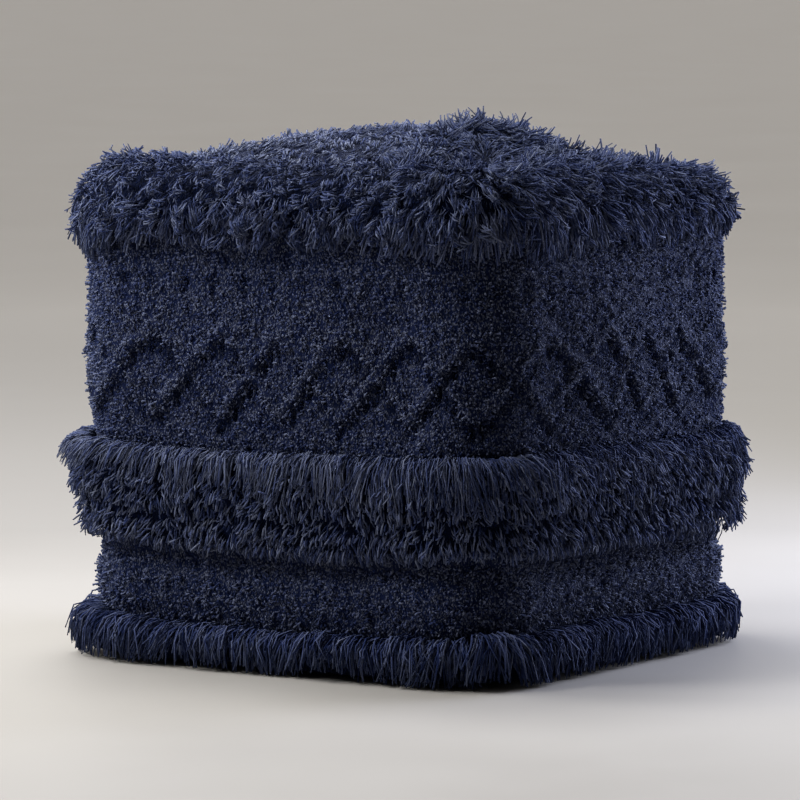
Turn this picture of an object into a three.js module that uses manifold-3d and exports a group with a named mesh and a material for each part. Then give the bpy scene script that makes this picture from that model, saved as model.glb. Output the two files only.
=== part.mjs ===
// A square stuffed floor pouf in tufted navy cotton, with a fringe round its rim, a double fringe round its
// middle, a fringe round its base and a long-pile band across the top.
// Millimetres, +Z up. The origin is the middle of the flat base, and the right face looks along +X.

import * as THREE from "three";
import Module from "manifold-3d";

// Driving dimensions
const BODY_WIDTH = 457;
const CORNER_RADIUS = 78;
const FACE_BULGE = 4;
const SHOULDER_Z = 443;
const SHOULDER_OUT = -30;
const CROWN_RISE = 31;
const GAP = 0.4;

// Hand-made unevenness: how far the walls wander in plan, and how far the seams dip and rise
const WALL_WANDER = 1.6;
const SEAM_WANDER = 2.6;

// Steps round the wall. Two steps make one clump of strands and the nick beside it.
const SIDE_STEPS = 14;
const CORNER_STEPS = 6;
const STEPS = 4 * (SIDE_STEPS + CORNER_STEPS);

// The body's outline from the floor to the shoulder. out is the distance outside half of BODY_WIDTH.
const BODY_ROWS = [
  { z: 0, out: -32 },
  { z: 9, out: -17 },
  { z: 30, out: -8 },
  { z: 50, out: -7 },
  { z: 66, out: -1 },
  { z: 86, out: -1 },
  { z: 100, out: -6 },
  { z: 200, out: -6 },
  { z: 216, out: 1 },
  { z: 238, out: 2 },
  { z: 250, out: 6 },
  { z: 298, out: 6 },
  { z: 312, out: 2 },
  { z: 398, out: 1 },
  { z: 421, out: -5 },
  { z: 435, out: -15 },
  { z: SHOULDER_Z, out: SHOULDER_OUT },
];

// The rings of the crown, each a share of the shoulder's outline
const CROWN_SHARES = [0.86, 0.68, 0.47, 0.24];

// Sections of the fringes, from the seam down the outside and back up beside the wall.
// A nick between clumps pulls a point up by lift and in by tuck. wall true puts the point GAP off the body.
const BASE_FRINGE = [
  { z: 52.5, out: -3, lift: 0, tuck: 0 },
  { z: 48, out: 12, lift: 0, tuck: 1 },
  { z: 36, out: 23, lift: 1, tuck: 4 },
  { z: 19, out: 24, lift: 2, tuck: 6 },
  { z: 2, out: 17, lift: 9, tuck: 6 },
  { z: 2, out: -1, lift: 9, tuck: 0 },
  { z: 30, wall: true },
  { z: 50, wall: true },
];
const MID_FRINGE_LOWER = [
  { z: 149.7, out: 13, lift: 0, tuck: 2 },
  { z: 139, out: 20, lift: 0, tuck: 3 },
  { z: 124, out: 22, lift: 1, tuck: 4 },
  { z: 111, out: 17, lift: 4, tuck: 5 },
  { z: 102, out: 7, lift: 8, tuck: 3 },
  { z: 112, wall: true },
  { z: 149.7, wall: true },
];
const MID_FRINGE_UPPER = [
  { z: 202.5, out: -2, lift: 0, tuck: 0 },
  { z: 198, out: 15, lift: 0, tuck: 1 },
  { z: 188, out: 26, lift: 0, tuck: 3 },
  { z: 168, out: 27, lift: 1, tuck: 4 },
  { z: 147, out: 22, lift: 7, tuck: 5 },
  { z: 150.1, out: 13, lift: 2, tuck: 0 },
  { z: 150.1, wall: true },
  { z: 200, wall: true },
];
const TOP_FRINGE = [
  { z: 449, out: -33, lift: 0, tuck: 0 },
  { z: 452, out: -14, lift: 1, tuck: 1 },
  { z: 441, out: 4, lift: 1, tuck: 2 },
  { z: 422, out: 17, lift: 1, tuck: 3 },
  { z: 400, out: 21, lift: 1, tuck: 5 },
  { z: 379, out: 17, lift: 3, tuck: 5 },
  { z: 364, out: 9, lift: 10, tuck: 4 },
  { z: 376, wall: true },
  { z: 398, wall: true },
  { z: 421, wall: true },
  { z: 435, wall: true },
  { z: SHOULDER_Z, wall: true },
];

// The long-pile band on the crown: its plan, how deep the slab dips before the body is cut from it, how thick
// its thinnest edge is, and what it stands above that from its combed left edge to its right one
const BAND_LEFT = 84;
const BAND_RIGHT = 183;
const BAND_HALF_LENGTH = 170;
const BAND_SINK = 8;
const BAND_EDGE = 2;
const BAND_STEPS_X = 6;
const BAND_STEPS_Y = 14;
const BAND_SECTION = [
  { along: 0, thick: 3 },
  { along: 1 / 6, thick: 16 },
  { along: 1 / 3, thick: 27 },
  { along: 2 / 3, thick: 15 },
  { along: 1, thick: 6 },
];
// The ridge is highest just behind the middle of the crown and dies out towards both rims
const RIDGE_Y = 10;
const RIDGE_REACH = 80;
const RIDGE_SHARE = 0.62;

const HALF = BODY_WIDTH / 2;

// A slow wave round the wall that is the same after half a turn, so that the body stays centred
function wave(share, turns, phase) {
  return Math.sin(4 * Math.PI * turns * share + phase);
}

// Where step i of the outline stands: its point on the nominal wall, the way out, and its share of the turn
function station(i) {
  const perSide = SIDE_STEPS + CORNER_STEPS;
  const quarter = Math.floor(i / perSide);
  const k = i % perSide;
  const straight = HALF - CORNER_RADIUS;
  const turn = (quarter * Math.PI) / 2;
  let x = HALF;
  let y = -straight + (2 * straight * k) / SIDE_STEPS;
  let angle = 0;
  let bulge = FACE_BULGE * Math.sin((Math.PI * k) / SIDE_STEPS) ** 2;
  if (k >= SIDE_STEPS) {
    angle = ((k - SIDE_STEPS) / CORNER_STEPS) * (Math.PI / 2);
    x = straight + CORNER_RADIUS * Math.cos(angle);
    y = straight + CORNER_RADIUS * Math.sin(angle);
    bulge = 0;
  }
  const up = new THREE.Vector3(0, 0, 1);
  const out = new THREE.Vector3(Math.cos(angle), Math.sin(angle), 0).applyAxisAngle(up, turn);
  return { at: new THREE.Vector3(x, y, 0).applyAxisAngle(up, turn), out, bulge, share: i / STEPS };
}
const stations = Array.from({ length: STEPS }, (_, i) => station(i));

// A point at a step of the outline, out from the nominal wall at height z, with the unevenness of the whole
function place(s, out, z) {
  const rise = Math.sin(Math.PI * THREE.MathUtils.clamp(z / SHOULDER_Z, 0, 1));
  const wander = WALL_WANDER * rise * wave(s.share, 1, 0.7) + s.bulge * rise;
  const dip = SEAM_WANDER * rise * wave(s.share, 1.5, 2.1);
  return s.at.clone().addScaledVector(s.out, out + wander).setZ(z + dip);
}

// How far out a point stands that is GAP off the body at height z, which takes more where the body leans in
function clearOut(z) {
  let out = 0;
  let lean = 0;
  for (let r = 1; r < BODY_ROWS.length; r++) {
    const [low, high] = [BODY_ROWS[r - 1], BODY_ROWS[r]];
    if (z < low.z || z > high.z) continue;
    out = THREE.MathUtils.mapLinear(z, low.z, high.z, low.out, high.out);
    lean = Math.max(lean, Math.abs(high.out - low.out) / (high.z - low.z));
  }
  return out + GAP * Math.hypot(1, lean);
}

function meshFrom(name, points, triangles, colour) {
  const geometry = new THREE.BufferGeometry();
  geometry.setAttribute("position", new THREE.Float32BufferAttribute(points.flatMap((p) => p.toArray()), 3));
  geometry.setIndex(triangles);
  geometry.computeVertexNormals();
  const material = new THREE.MeshStandardMaterial({ color: colour, roughness: 0.95, metalness: 0 });
  const mesh = new THREE.Mesh(geometry, material);
  mesh.name = name;
  return mesh;
}

// The height of the crown over a plan point, from how far out it lies on a squared-off ring
function crownZ(x, y) {
  const reach = HALF + SHOULDER_OUT;
  const share = ((Math.abs(x) / reach) ** 4 + (Math.abs(y) / reach) ** 4) ** 0.25;
  return SHOULDER_Z + CROWN_RISE * (1 - Math.min(share, 1) ** 2);
}

// The stuffed body: rings up the wall, then rings over the crown that grow rounder towards its middle
function filledBody() {
  const points = [new THREE.Vector3(0, 0, 0)];
  for (const row of BODY_ROWS) points.push(...stations.map((s) => place(s, row.out, row.z)));
  for (const share of CROWN_SHARES) {
    for (const s of stations) {
      const rim = place(s, SHOULDER_OUT, SHOULDER_Z);
      const plan = Math.hypot(rim.x, rim.y);
      const rounder = THREE.MathUtils.lerp((HALF + SHOULDER_OUT) / plan, 1, share);
      const z = SHOULDER_Z + CROWN_RISE * (1 - share ** 2);
      points.push(new THREE.Vector3(rim.x * share * rounder, rim.y * share * rounder, z));
    }
  }
  points.push(new THREE.Vector3(0, 0, SHOULDER_Z + CROWN_RISE));
  const rings = BODY_ROWS.length + CROWN_SHARES.length;
  const top = points.length - 1;
  const triangles = [];
  for (let i = 0; i < STEPS; i++) {
    const next = (i + 1) % STEPS;
    triangles.push(0, 1 + next, 1 + i);
    for (let r = 0; r + 1 < rings; r++) {
      const a = 1 + r * STEPS;
      const b = a + STEPS;
      triangles.push(a + i, a + next, b + next, a + i, b + next, b + i);
    }
    const last = 1 + (rings - 1) * STEPS;
    triangles.push(last + i, last + next, top);
  }
  return meshFrom("filled_body", points, triangles, 0x1a2140);
}

// One fringe as a comb: its section carried round the wall, with a nick at every second step
function comb(name, section, seed) {
  const points = [];
  stations.forEach((s, i) => {
    const full = 0.5 + 0.3 * wave(s.share, 5, seed) + 0.2 * wave(s.share, 9, 2 * seed);
    const nick = i % 2 === 0 ? 0.35 * (1 - full) : 0.6 + 0.4 * full;
    for (const p of section) {
      const out = p.wall ? clearOut(p.z) : p.out - p.tuck * nick;
      points.push(place(s, out, p.wall ? p.z : p.z + p.lift * nick));
    }
  });
  const count = section.length;
  const triangles = [];
  for (let i = 0; i < STEPS; i++) {
    const here = i * count;
    const next = ((i + 1) % STEPS) * count;
    for (let j = 0; j < count; j++) {
      const k = (j + 1) % count;
      triangles.push(here + j, here + k, next + k, here + j, next + k, next + j);
    }
  }
  return meshFrom(name, points, triangles, 0x202a4d);
}

// How thick the band stands at a share of the way from its left edge to its right, and at a place along it
function bandThickness(along, y) {
  const right = Math.max(1, BAND_SECTION.findIndex((row) => row.along >= along));
  const [a, b] = [BAND_SECTION[right - 1], BAND_SECTION[right]];
  const ridge = 1 - RIDGE_SHARE + RIDGE_SHARE * Math.exp(-(((y - RIDGE_Y) / RIDGE_REACH) ** 2));
  return THREE.MathUtils.mapLinear(along, a.along, b.along, a.thick, b.thick) * ridge;
}

// The band as a closed slab that follows the crown and dips into it, before the body is cut away
function bandSlab() {
  const points = [];
  for (const upper of [false, true]) {
    for (let j = 0; j <= BAND_STEPS_Y; j++) {
      const y = THREE.MathUtils.lerp(-BAND_HALF_LENGTH, BAND_HALF_LENGTH, j / BAND_STEPS_Y);
      for (let i = 0; i <= BAND_STEPS_X; i++) {
        const along = i / BAND_STEPS_X;
        const x = THREE.MathUtils.lerp(BAND_LEFT, BAND_RIGHT, along);
        const z = crownZ(x, y) + (upper ? BAND_EDGE + bandThickness(along, y) : -BAND_SINK);
        points.push(new THREE.Vector3(x, y, z));
      }
    }
  }
  const row = BAND_STEPS_X + 1;
  const sheet = row * (BAND_STEPS_Y + 1);
  const triangles = [];
  const quad = (a, b, c, d) => triangles.push(a, b, c, a, c, d);
  for (let j = 0; j < BAND_STEPS_Y; j++) {
    for (let i = 0; i < BAND_STEPS_X; i++) {
      const a = j * row + i;
      quad(a, a + row, a + row + 1, a + 1);
      quad(sheet + a, sheet + a + 1, sheet + a + row + 1, sheet + a + row);
    }
    const left = j * row;
    const right = left + BAND_STEPS_X;
    quad(left, sheet + left, sheet + left + row, left + row);
    quad(right, right + row, sheet + right + row, sheet + right);
  }
  const far = BAND_STEPS_Y * row;
  for (let i = 0; i < BAND_STEPS_X; i++) {
    quad(i, i + 1, sheet + i + 1, sheet + i);
    quad(far + i, sheet + far + i, sheet + far + i + 1, far + i + 1);
  }
  return meshFrom("top_cross_shag", points, triangles, 0x263056);
}

const wasm = await Module();
wasm.setup();

function solidOf(mesh) {
  const vertProperties = new Float32Array(mesh.geometry.attributes.position.array);
  const triVerts = new Uint32Array(mesh.geometry.index.array);
  return new wasm.Manifold(new wasm.Mesh({ numProp: 3, vertProperties, triVerts }));
}

// The band with the body cut out of it, so that its underside fits the crown, GAP above it
function crossShag(body) {
  const slab = bandSlab();
  const cut = solidOf(slab).subtract(solidOf(body)).getMesh();
  const geometry = new THREE.BufferGeometry();
  geometry.setAttribute("position", new THREE.Float32BufferAttribute(cut.vertProperties, 3));
  geometry.setIndex(new THREE.Uint32BufferAttribute(cut.triVerts, 1));
  geometry.computeVertexNormals();
  slab.geometry = geometry;
  slab.position.z = GAP;
  return slab;
}

const body = filledBody();
const pouf = new THREE.Group();
pouf.add(body);
pouf.add(comb("base_fringe", BASE_FRINGE, 0.4));
pouf.add(comb("mid_fringe_lower", MID_FRINGE_LOWER, 1.9));
pouf.add(comb("mid_fringe_upper", MID_FRINGE_UPPER, 3.1));
pouf.add(comb("top_edge_fringe", TOP_FRINGE, 4.6));
pouf.add(crossShag(body));

export default pouf;
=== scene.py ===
"""A square stuffed floor pouf in tufted navy cotton.

The body is a ground cloth that carries short cut pile, sculpted into zigzags. Fringes of single strands
hang from its rim, its middle seam and its base, and a long-pile band crosses the top. Lengths are metres, and
+Z is up.
"""

import math

import bpy
import numpy as np
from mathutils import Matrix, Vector
from mathutils.kdtree import KDTree


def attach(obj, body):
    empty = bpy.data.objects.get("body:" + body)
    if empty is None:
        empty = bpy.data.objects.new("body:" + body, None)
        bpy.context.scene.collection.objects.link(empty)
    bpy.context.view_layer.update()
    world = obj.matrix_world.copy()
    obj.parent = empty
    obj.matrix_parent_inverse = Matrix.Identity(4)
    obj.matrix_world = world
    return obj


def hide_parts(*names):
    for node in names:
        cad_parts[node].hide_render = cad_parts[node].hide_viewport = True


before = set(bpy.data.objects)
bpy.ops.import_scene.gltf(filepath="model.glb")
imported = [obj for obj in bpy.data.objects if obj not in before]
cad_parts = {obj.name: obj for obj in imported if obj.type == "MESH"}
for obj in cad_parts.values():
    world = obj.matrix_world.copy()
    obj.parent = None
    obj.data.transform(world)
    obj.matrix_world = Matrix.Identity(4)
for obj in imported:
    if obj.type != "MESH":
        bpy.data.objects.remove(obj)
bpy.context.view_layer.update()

# Driving dimensions of the body, as in the frame
BODY_WIDTH = 0.457
CORNER_RADIUS = 0.078
FACE_BULGE = 0.004
SHOULDER_Z = 0.443
SHOULDER_OUT = -0.03
CROWN_RISE = 0.031
HALF = BODY_WIDTH / 2
STRAIGHT = HALF - CORNER_RADIUS
RIM_REACH = HALF + SHOULDER_OUT

# Share of a quarter of the outline that is straight. The rest is its corner.
SIDE_SHARE = 0.7
AROUND = 8 * STRAIGHT + 2 * math.pi * CORNER_RADIUS

# The tufted surface from the floor to the shoulder: height, and distance outside half of BODY_WIDTH
WALL_ROWS = np.array([
    (0.0, -0.032), (0.009, -0.017), (0.03, -0.008), (0.05, -0.006), (0.062, 0.0), (0.082, 0.001),
    (0.096, -0.005), (0.194, -0.004), (0.202, 0.001), (0.398, 0.001), (0.421, -0.005), (0.435, -0.015),
    (SHOULDER_Z, SHOULDER_OUT),
])

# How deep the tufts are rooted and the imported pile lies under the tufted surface, and the gap to the floor
PILE_DEPTH = 0.0072
GROUND_DEPTH = 0.0026
FLOOR_GAP = 0.0022

# The relief on the walls: zigzags round the body, and steps in each of them
ZIGZAGS = 24
STEPS = 8

# Slow waves of the walls and of the seams: how far, how many in half a turn and from which phase
WALL_WANDER = 0.0016
WALL_WAVE = (1, 0.7)
SEAM_WANDER = 0.0026
SEAM_WAVE = (1.5, 2.1)

# Where the top has settled: middle (x, y), reach and depth of each dip, and how high up the wall that starts
DIPS = [((0.17, 0.19), 0.13, 0.016), ((-0.2, -0.02), 0.11, 0.005), ((0.03, 0.215), 0.05, 0.008)]
DIP_FROM = 0.37
DIP_OVER = 0.06

# Swellings and dents of the wall: share of a turn, reach, how far out, lowest and highest place, and edge
SWELLINGS = [
    (0.7, 0.055, 0.007, 0.203, 0.4, 0.028),
    (0.915, 0.03, -0.01, 0.2, 0.37, 0.05),
    (0.06, 0.05, 0.006, 0.2, 0.4, 0.04),
]

# How far the stuffing sags round the body above the base fringe: share of a turn, and distance down
SAG = [
    (0.0, 0.003), (0.1, 0.0035), (0.175, 0.004), (0.2125, 0.002), (0.3, 0.0), (0.62, 0.0),
    (0.72, 0.002), (0.76, 0.005), (0.8, 0.0065), (0.88, 0.0065), (0.925, 0.004), (0.9625, 0.002),
]
SAG_ZONE = [(0.0, 0.0), (0.04, 1.0), (0.125, 1.0), (0.19, 0.0)]

# The left-hand end of the crown is painted paler, as light falling on it: how far that runs askew to the body
CROWN_SKEW = 0.65

# The long-pile band across the top, parallel to the right face, and its ridge
BAND_LEFT = 0.08
BAND_RIGHT = 0.192
BAND_HALF_LENGTH = 0.196
RIDGE_X = 0.106
RIDGE_LEFT_SIDE = 0.024
RIDGE_RIGHT_SIDE = 0.034

# How high the ridge stands along Y, charted
RIDGE_LINE = [
    (-0.2, 0.002), (-0.165, 0.007), (-0.134, 0.013), (-0.1, 0.019), (-0.07, 0.022), (-0.04, 0.024),
    (-0.005, 0.016), (0.017, 0.014), (0.035, 0.006), (0.06, 0.002), (0.09, -0.008), (0.115, -0.012),
    (0.14, -0.001), (0.2, 0.003),
]

# The least length of a vector, and the share of a cell that scattered places keep from its edge
TINY = 1e-12
CELL_EDGE = 0.05


def unit(vectors):
    return vectors / np.maximum(np.linalg.norm(vectors, axis=-1, keepdims=True), TINY)


def by_turn(turn, table):
    """A value charted at a few shares of a turn, blended between them."""
    turns, values = np.array(table).T
    return np.interp(np.mod(turn, 1.0), turns, values, period=1)


def wave(share, crests, phase):
    """A slow wave round the body, with so many crests in half a turn."""
    return np.sin(4 * math.pi * crests * share + phase)


def outline(turn):
    """The nominal wall at shares of a full turn: its points, the way out and how far its face bulges."""
    turn = np.mod(turn, 1.0)
    quarter = np.floor(4 * turn)
    along = 4 * turn - quarter
    side = np.clip(along / SIDE_SHARE, 0, 1)
    angle = np.clip((along - SIDE_SHARE) / (1 - SIDE_SHARE), 0, 1) * math.pi / 2
    x = STRAIGHT + CORNER_RADIUS * np.cos(angle)
    y = np.where(along < SIDE_SHARE, STRAIGHT * (2 * side - 1), STRAIGHT + CORNER_RADIUS * np.sin(angle))
    bulge = FACE_BULGE * np.sin(math.pi * side) ** 2
    spin = quarter * math.pi / 2
    points = np.stack([x * np.cos(spin) - y * np.sin(spin), x * np.sin(spin) + y * np.cos(spin)], -1)
    out = np.stack([np.cos(angle + spin), np.sin(angle + spin)], -1)
    return points, out, bulge


def dip(x, y):
    """How far the top has settled under a plan point."""
    total = 0
    for (middle_x, middle_y), reach, depth in DIPS:
        total = total + depth * np.exp(-((x - middle_x) ** 2 + (y - middle_y) ** 2) / reach ** 2)
    return total


def swell(turn, z):
    """How far the wall has swollen out or is dented between its two upper seams."""
    total = 0
    for middle, reach, amount, low, high, edge in SWELLINGS:
        beside = (np.mod(turn - middle + 0.5, 1.0) - 0.5) / reach
        total = total + amount * np.exp(-(beside ** 2)) * np.clip(np.minimum(z - low, high - z) / edge, 0, 1)
    return total


def sag(turn, z):
    """How far the lower part of the wall has sunk."""
    heights, shares = np.array(SAG_ZONE).T
    return by_turn(turn, SAG) * np.interp(z, heights, shares)


def place(turn, out, z):
    """Points out from the nominal wall at height z, with the unevenness of the whole."""
    points, way, bulge = outline(turn)
    share = np.mod(turn, 1.0)
    rise = np.sin(math.pi * np.clip(z / SHOULDER_Z, 0, 1))
    reach = out + (WALL_WANDER * wave(share, *WALL_WAVE) + bulge) * rise + swell(turn, z)
    plan = points + way * reach[..., None]
    seam_dip = SEAM_WANDER * rise * wave(share, *SEAM_WAVE)
    settled = dip(plan[..., 0], plan[..., 1]) * np.clip((z - DIP_FROM) / DIP_OVER, 0, 1)
    return np.concatenate([plan, (z + seam_dip - settled - sag(turn, z))[..., None]], -1)


def facing(turn, run):
    """The ways out of and down a surface round the body whose upright section runs along run (out, z)."""
    way = outline(turn)[1]
    out = np.concatenate([way * -run[:, 1:], run[:, :1]], -1)
    down = np.concatenate([way * run[:, :1], run[:, 1:]], -1)
    return out, down


def wall_out(z):
    """How far out the tufted surface lies at height z."""
    return np.interp(z, WALL_ROWS[:, 0], WALL_ROWS[:, 1])


def band_ridge(x, y):
    """How high the ridge of the long-pile band stands over a plan point. It dies out towards both rims."""
    side = np.where(x < RIDGE_X, RIDGE_LEFT_SIDE, RIDGE_RIGHT_SIDE)
    places, heights = np.array(RIDGE_LINE).T
    return np.interp(y, places, heights) * np.exp(-(((x - RIDGE_X) / side) ** 2))


def squared(x, y, reach, power=4):
    """How far out a plan point lies in a squared-off ring of that reach. It is 1 on the ring."""
    return (np.abs(x) / reach) ** power + (np.abs(y) / reach) ** power


def crown_height(x, y):
    """The height of the tufted surface over a plan point, without the band's ridge."""
    share = squared(x, y, RIM_REACH) ** 0.25
    return SHOULDER_Z + CROWN_RISE * (1 - np.minimum(share, 1) ** 2) - dip(x, y)


def crown_across(x, y):
    """How far a plan point lies from the left-hand end of the top, painted paler as lit, towards its
    right-hand end.
    """
    return x + CROWN_SKEW * y


def top_height(x, y):
    """The height of the tufted surface with the band's ridge."""
    return crown_height(x, y) + band_ridge(x, y)


def top_slope(x, y, step=0.003):
    """How steeply the top rises along X and along Y."""
    along_x = (top_height(x + step, y) - top_height(x - step, y)) / (2 * step)
    along_y = (top_height(x, y + step) - top_height(x, y - step)) / (2 * step)
    return along_x, along_y


def mesh_object(name, vertices, faces, smooth=True):
    """A mesh object from an array of vertices and arrays of faces, one array for each number of corners."""
    corners = [np.asarray(f, np.int32).reshape(-1, np.shape(f)[-1]) for f in faces]
    sizes = np.concatenate([np.full(len(f), f.shape[1], np.int32) for f in corners])
    mesh = bpy.data.meshes.new(name)
    mesh.vertices.add(len(vertices))
    mesh.vertices.foreach_set("co", np.asarray(vertices, np.float32).ravel())
    mesh.loops.add(int(sizes.sum()))
    mesh.loops.foreach_set("vertex_index", np.concatenate([f.ravel() for f in corners]))
    mesh.polygons.add(len(sizes))
    mesh.polygons.foreach_set("loop_start", np.concatenate([[0], np.cumsum(sizes)[:-1]]).astype(np.int32))
    mesh.polygons.foreach_set("use_smooth", np.full(len(sizes), smooth))
    mesh.update(calc_edges=True)
    piece = bpy.data.objects.new(name, mesh)
    bpy.context.scene.collection.objects.link(piece)
    return piece


def write_attribute(piece, name, values):
    """A number for each vertex that the materials read."""
    attribute = piece.data.attributes.new(name, "FLOAT", "POINT")
    attribute.data.foreach_set("value", np.asarray(values, np.float32))


def field(points, size, rng, waves=10):
    """A smooth random number at each point that varies over about size, with a spread of 1."""
    pace = unit(rng.normal(size=(waves, points.shape[-1]))) * 2 * math.pi / size
    phase = rng.uniform(0, 2 * math.pi, waves)
    return np.cos(points @ pace.T + phase).sum(-1) / math.sqrt(waves / 2)


def scatter(width, height, spacing, rng):
    """One random place in each cell of a grid over a patch: distances along and up it."""
    columns = max(1, round(width / spacing))
    rows = max(1, round(height / spacing))
    u = np.repeat(np.arange(columns), rows) + rng.uniform(CELL_EDGE, 1 - CELL_EDGE, columns * rows)
    v = np.tile(np.arange(rows), columns) + rng.uniform(CELL_EDGE, 1 - CELL_EDGE, columns * rows)
    return u * width / columns, v * height / rows


# Strands

SIDES = 3
GIRTHS = (0.75, 1.25)
BUNCH_LENGTHS = (0.85, 1.15)
GATHER_POWER = 1.3


def strand_object(name, paths, radii, rng, tone, core=None):
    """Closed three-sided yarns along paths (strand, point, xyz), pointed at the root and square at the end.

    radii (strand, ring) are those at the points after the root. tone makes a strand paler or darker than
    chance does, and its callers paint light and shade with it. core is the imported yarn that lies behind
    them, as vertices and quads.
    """
    count, rings = radii.shape
    steps = unit(paths[:, 1:] - paths[:, :-1])
    tangents = unit(np.concatenate([steps[:, :-1] + steps[:, 1:], steps[:, -1:]], 1))
    start = unit(np.cross(tangents[:, 0], rng.normal(size=(count, 3))))
    across = unit(np.cross(tangents, np.broadcast_to(start[:, None], tangents.shape)))
    other = np.cross(tangents, across)
    angle = np.arange(SIDES) * 2 * math.pi / SIDES
    ring = across[:, :, None] * np.cos(angle)[:, None] + other[:, :, None] * np.sin(angle)[:, None]
    tube = paths[:, 1:, None] + ring * radii[:, :, None, None]
    vertices = np.concatenate([paths[:, :1], tube.reshape(count, rings * SIDES, 3)], 1)
    each = vertices.shape[1]
    first = (np.arange(count) * each)[:, None, None]
    side = np.arange(SIDES)
    turned = (side + 1) % SIDES
    low = 1 + (np.arange(rings - 1) * SIDES)[:, None]
    quads = np.stack([low + side, low + turned, low + SIDES + turned, low + SIDES + side], -1).reshape(-1, 4)
    end = [each - SIDES + side]
    roots = np.stack([1 + turned, 1 + side, np.zeros(SIDES, int)], -1)
    triangles = np.concatenate([roots, end])
    quads = (quads[None] + first).reshape(-1, 4)
    triangles = (triangles[None] + first).reshape(-1, 3)
    along = np.concatenate([[0.0], np.repeat(np.arange(1, rings + 1) / rings, SIDES)])
    along = np.tile(along, count)
    around = np.tile(np.concatenate([[SIDES / 2], np.tile(side, rings)]), count)
    # A random shade for each strand, with painted light and shade added
    lot_and_painted_shade = np.repeat(np.clip(rng.random(count) + tone, 0, 1), each)
    vertices = vertices.reshape(-1, 3)
    faces = [triangles, quads] if len(quads) else [triangles]
    if core is not None:
        faces.append(core[1] + len(vertices))
        vertices = np.concatenate([vertices, core[0]])
        along, around, lot_and_painted_shade = (np.append(values, np.zeros(len(core[0]))) for values in (along, around, lot_and_painted_shade))
    piece = mesh_object(name, vertices, faces)
    for label, values in (("along", along), ("around", around), ("lot_and_painted_shade", lot_and_painted_shade)):
        write_attribute(piece, label, values)
    return piece


def yarn_piece(name, paths, style, rng, material, node=None, core=None, girth=1.0, tone=0.0):
    """A piece of many strands with its material that, for a fringe, stands for its node."""
    radii = style["radius"] * rng.uniform(*GIRTHS, (len(paths), 1)) * np.array(style["girth"])
    radii = radii * np.reshape(girth, (-1, 1))
    piece = strand_object(name, paths, radii, rng, tone, core)
    piece.data.materials.append(material)
    if core is not None:
        piece.data.materials.append(core_material())
        second = np.zeros(len(piece.data.polygons), np.int32)
        second[-len(core[1]):] = 1
        piece.data.polygons.foreach_set("material_index", second)
    if node is not None:
        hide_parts(node)
    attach(piece, "root")


def bunches(roots, each, rng):
    """Gathers roots into bunches of about each: which bunch every root is in, and the bunches' middles."""
    count = max(1, len(roots) // each)
    middles = roots[rng.permutation(len(roots))[:count]]
    tree = KDTree(count)
    for i, middle in enumerate(middles):
        tree.insert(middle, i)
    tree.balance()
    index = np.array([tree.find(root)[1] for root in roots])
    return index, middles


def shag(roots, outs, downs, style, rng, lengths=None):
    """Paths of short strands that stand out from their roots and fall along downs, gathered in bunches."""
    count = len(roots)
    index, middles = bunches(roots, style["bunch"], rng)
    if lengths is None:
        lengths = np.full(count, style["length"])
    lengths = lengths * rng.uniform(style["shortest"], 1.0, count)
    lengths = lengths * rng.uniform(*BUNCH_LENGTHS, len(middles))[index]
    stand, whim, own = (np.reshape(style[key], (-1, 1)) for key in ("stand", "whim", "own"))
    whim = rng.normal(size=(len(middles), 3))[index] * whim
    own = rng.normal(size=(count, 3)) * own
    first = unit(outs * stand + downs * (1 - stand) + whim + own)
    last = unit(outs * style["lift"] + downs * (1 - style["lift"]) + style["curl"] * (whim + own))
    shares = np.array(style["shares"])
    points = [roots]
    for i, step in enumerate(np.diff(shares)):
        mix = i / max(len(shares) - 2, 1)
        points.append(points[-1] + unit(first * (1 - mix) + last * mix) * (lengths * step)[:, None])
    paths = np.stack(points, 1)
    gathered = shares[None, :, None] ** GATHER_POWER * style["gather"]
    paths = paths + (middles[index] - roots)[:, None] * gathered
    paths[..., 2] = np.maximum(paths[..., 2], FLOOR_GAP)
    return paths


# Materials

# Near black: painted shade inside the fringes and in the cut pits
PAINTED_SHADE_NAVY = (0.001, 0.0018, 0.009, 1)
PACKED_DARK = (0.0032, 0.0058, 0.025, 1)
PACKED_LIGHT = (0.125, 0.139, 0.197, 1)
NAVY_DEEP = (0.0032, 0.0074, 0.04, 1)
NAVY = (0.027, 0.038, 0.105, 1)
NAVY_LIGHT = (0.136, 0.152, 0.215, 1)
FLOOR_DARK = (0.29, 0.275, 0.255, 1)
FLOOR_PALE = (0.32, 0.305, 0.285, 1)
FLOOR_FAR = (0.9, 0.87, 0.83, 1)

# Cotton has little gloss and a fuzz that shines in slanting light
COTTON = {
    "Sheen Roughness": 0.4, "Sheen Tint": (0.62, 0.74, 1.0, 1),
    "Specular IOR Level": 0.15, "Specular Tint": (0.3, 0.48, 1.0, 1),
}

# Where noise varies most. It is stretched over this range.
NOISE_RANGE = (0.3, 0.7)

# Noise by its scale for each metre: the fibres of the yarn, its mottling, its cut ends and the floor
FIBRES = {"scale": 1000.0, "detail": 3.0, "rough": 0.7}
BROAD_MOTTLE = {"scale": 20.0, "detail": 3.0}
FINE_MOTTLE = {"scale": 75.0}
END_FIBRES = {"scale": 1500.0, "detail": 2.0, "rough": 0.7}
FLOOR_GRAIN = {"scale": 3.0, "detail": 4.0}

# Streaks along a strand: how many cross it, how far apart its lots lie in the noise, and their range in it
STREAKS_ACROSS = 1.8
STREAK_LOTS = 60.0
STREAK_RANGE = (0.36, 0.64)

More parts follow.
